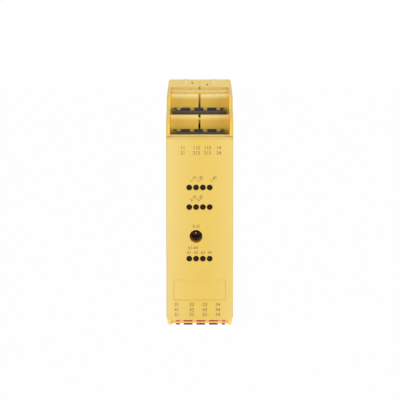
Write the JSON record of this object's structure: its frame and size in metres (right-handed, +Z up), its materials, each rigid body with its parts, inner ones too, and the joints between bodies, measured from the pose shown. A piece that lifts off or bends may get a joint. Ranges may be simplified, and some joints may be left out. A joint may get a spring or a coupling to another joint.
{
  "type": "actuator-sensor interface safety module",
  "caption": "Slim yellow rail-mounted control module with stepped plug terraces, a flat front cover with lamp holes and an addressing bore, pin headers and a sprung rail latch.",
  "frame": {"origin": "middle of the 35 mm rail, on the rail's front plane, at the module's mid width", "axes": "+X across the module to its right, +Y from the front cover to the rail, +Z up"},
  "size_m": [0.025, 0.093, 0.0991],
  "materials": {
    "yellow_plastic": "fine satin moulded yellow",
    "black_plastic": "matt moulded black",
    "red_plastic": "matt moulded red",
    "tinned_pins": "bright tin",
    "lamp_lens": "unlit tinted lens",
    "shroud_black": "matt black",
    "circuit_board": "green solder resist",
    "socket_black": "matt black",
    "contact_metal": "bright plated",
    "relay_case": "smooth white",
    "chip_resin": "matt moulding resin",
    "capacitor_sleeve": "shrunk sleeve",
    "ferrite": "pressed ferrite",
    "copper_winding": "enamelled copper",
    "connector_black": "matt black",
    "latch_plastic": "matt black",
    "spring_steel": "drawn wire"
  },
  "bodies": {
    "housing": {"left_shell": "yellow_plastic", "right_shell": "yellow_plastic", "front_cover": "yellow_plastic", "blank_cover": "yellow_plastic", "upper_front_header": "black_plastic", "upper_front_pins": "tinned_pins", "upper_rear_header": "black_plastic", "upper_rear_pins": "tinned_pins", "lower_front_header": "red_plastic", "lower_front_pins": "tinned_pins", "lower_middle_header": "black_plastic", "lower_middle_pins": "tinned_pins", "lower_rear_header": "black_plastic", "lower_rear_pins": "tinned_pins", "lamps_upper": "lamp_lens", "lamps_middle": "lamp_lens", "lamps_lower": "lamp_lens", "lamp_shrouds": "shroud_black", "indicator_board": "circuit_board", "relay_board": "circuit_board", "logic_board": "circuit_board", "addressing_socket": "socket_black", "addressing_contact": "contact_metal", "lower_relay": "relay_case", "upper_relay": "relay_case", "interface_chip": "chip_resin", "first_controller": "chip_resin", "second_controller": "chip_resin", "supply_capacitor": "capacitor_sleeve", "choke_core": "ferrite", "choke_winding": "copper_winding", "board_connector": "connector_black", "latch_spring": "spring_steel"},
    "latch": {"rail_latch": "latch_plastic"}
  },
  "joints": [
    {"name": "latch_slide", "type": "slide", "parent": "housing", "child": "latch", "axis": [0, 0, -1], "range_m": [0, 0.004], "stiffness_N_per_m": 800, "springref_m": -0.003, "deforming": ["latch_spring"]}
  ]
}
